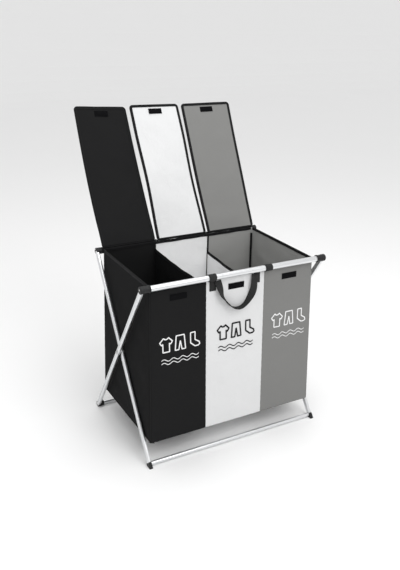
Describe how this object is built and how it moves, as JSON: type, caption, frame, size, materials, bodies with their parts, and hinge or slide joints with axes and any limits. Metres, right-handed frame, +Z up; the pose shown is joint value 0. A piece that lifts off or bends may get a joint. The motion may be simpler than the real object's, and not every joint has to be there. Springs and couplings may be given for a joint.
{
  "type": "laundry sorter",
  "caption": "Folding laundry sorter: a fabric bag with dividers, hinged lids and a webbing handle, hung between crossed metal legs.",
  "frame": {"origin": "on the floor under the middle of the whole object's box, so the crossed frames stand forward of it and the open lids reach back over it", "axes": "+X along the rails from the black compartment to the grey one, +Y to the rear where the lids are hinged, +Z up"},
  "size_m": [0.6454, 0.6078, 1.0111],
  "materials": {
    "aluminium": "satin anodised tube",
    "moulded_plastic": "fine moulded texture",
    "steel_fastener": "zinc plated",
    "black_fabric": "plain-weave polyester",
    "white_fabric": "plain-weave polyester",
    "grey_fabric": "plain-weave polyester",
    "binding": "folded woven tape",
    "webbing": "ribbed woven strap",
    "hook_loop": "short pile"
  },
  "bodies": {
    "pivot": {"pivot_rivets": "steel_fastener", "pivot_spacers": "moulded_plastic"},
    "inner_frame": {"inner_leg_left": "aluminium", "inner_leg_right": "aluminium", "rear_top_rail": "aluminium", "front_floor_rail": "aluminium", "rear_corner_left": "moulded_plastic", "rear_corner_right": "moulded_plastic", "front_foot_left": "moulded_plastic", "front_foot_right": "moulded_plastic", "rear_corner_screws": "steel_fastener"},
    "outer_frame": {"outer_leg_left": "aluminium", "outer_leg_right": "aluminium", "front_top_rail": "aluminium", "rear_floor_rail": "aluminium", "front_corner_left": "moulded_plastic", "front_corner_right": "moulded_plastic", "rear_foot_left": "moulded_plastic", "rear_foot_right": "moulded_plastic", "front_corner_screws": "steel_fastener"},
    "rear_wall": {"rear_panel_black": "black_fabric", "rear_panel_white": "white_fabric", "rear_panel_grey": "grey_fabric", "rear_rim_binding": "binding", "rear_straps": "webbing", "side_panel_left": "black_fabric", "side_panel_right": "grey_fabric", "side_binding_left": "binding", "side_binding_right": "binding", "divider_left": "black_fabric", "divider_right": "white_fabric", "divider_binding_left": "binding", "divider_binding_right": "binding", "floor_panel_black": "black_fabric", "floor_panel_white": "white_fabric", "floor_panel_grey": "grey_fabric"},
    "front_wall": {"front_panel_black": "black_fabric", "front_panel_white": "white_fabric", "front_panel_grey": "grey_fabric", "front_rim_binding": "binding", "front_straps": "webbing", "closure_patches": "hook_loop", "handle_tails": "webbing"},
    "handle": {"carry_handle": "webbing"},
    "lid_black": {"lid_black": "black_fabric", "lid_binding_black": "binding"},
    "flap_black": {"flap_black": "black_fabric", "flap_binding_black": "binding", "lid_tab_black": "hook_loop"},
    "lid_white": {"lid_white": "white_fabric", "lid_binding_white": "binding"},
    "flap_white": {"flap_white": "white_fabric", "flap_binding_white": "binding", "lid_tab_white": "hook_loop"},
    "lid_grey": {"lid_grey": "grey_fabric", "lid_binding_grey": "binding"},
    "flap_grey": {"flap_grey": "grey_fabric", "flap_binding_grey": "binding", "lid_tab_grey": "hook_loop"}
  },
  "joints": [
    {"name": "frame_fold", "type": "hinge", "parent": "pivot", "child": "inner_frame", "pos_m": [0, -0.08907, 0.29692], "axis": [1, 0, 0], "range_deg": [0, 30], "deforming": ["side_panel_left", "side_panel_right", "side_binding_left", "side_binding_right", "divider_left", "divider_right", "divider_binding_left", "divider_binding_right", "floor_panel_black", "floor_panel_white", "floor_panel_grey"]},
    {"name": "outer_fold", "type": "hinge", "parent": "pivot", "child": "outer_frame", "pos_m": [0, -0.08907, 0.29692], "axis": [-1, 0, 0], "range_deg": [0, 30]},
    {"name": "rear_wall_hang", "type": "hinge", "parent": "inner_frame", "child": "rear_wall", "pos_m": [0, 0.10093, 0.573], "axis": [-1, 0, 0], "range_deg": [0, 30]},
    {"name": "front_wall_hang", "type": "hinge", "parent": "outer_frame", "child": "front_wall", "pos_m": [0, -0.27907, 0.573], "axis": [1, 0, 0], "range_deg": [0, 30]},
    {"name": "lid_black_hinge", "type": "hinge", "parent": "rear_wall", "child": "lid_black", "pos_m": [0, 0.08743, 0.5861], "axis": [-1, 0, 0], "range_deg": [-115.5, 61.5]},
    {"name": "flap_black_fold", "type": "hinge", "parent": "lid_black", "child": "flap_black", "pos_m": [0, 0.25231, 0.93179], "axis": [1, 0, 0], "range_deg": [0, 90]},
    {"name": "lid_white_hinge", "type": "hinge", "parent": "rear_wall", "child": "lid_white", "pos_m": [0, 0.08743, 0.5861], "axis": [-1, 0, 0], "range_deg": [-116, 61]},
    {"name": "flap_white_fold", "type": "hinge", "parent": "lid_white", "child": "flap_white", "pos_m": [0, 0.25532, 0.93034], "axis": [1, 0, 0], "range_deg": [0, 90]},
    {"name": "lid_grey_hinge", "type": "hinge", "parent": "rear_wall", "child": "lid_grey", "pos_m": [0, 0.08743, 0.5861], "axis": [-1, 0, 0], "range_deg": [-117.2, 59.8]},
    {"name": "flap_grey_fold", "type": "hinge", "parent": "lid_grey", "child": "flap_grey", "pos_m": [0, 0.26249, 0.92675], "axis": [1, 0, 0], "range_deg": [0, 90]},
    {"name": "handle_swing", "type": "hinge", "parent": "front_wall", "child": "handle", "pos_m": [0, -0.28207, 0.552], "axis": [-1, 0, 0], "range_deg": [0, 85]}
  ],
  "couplings": [
    {"joint": "outer_fold", "follows": "frame_fold", "ratio": 1},
    {"joint": "rear_wall_hang", "follows": "frame_fold", "ratio": 1},
    {"joint": "front_wall_hang", "follows": "frame_fold", "ratio": 1}
  ]
}
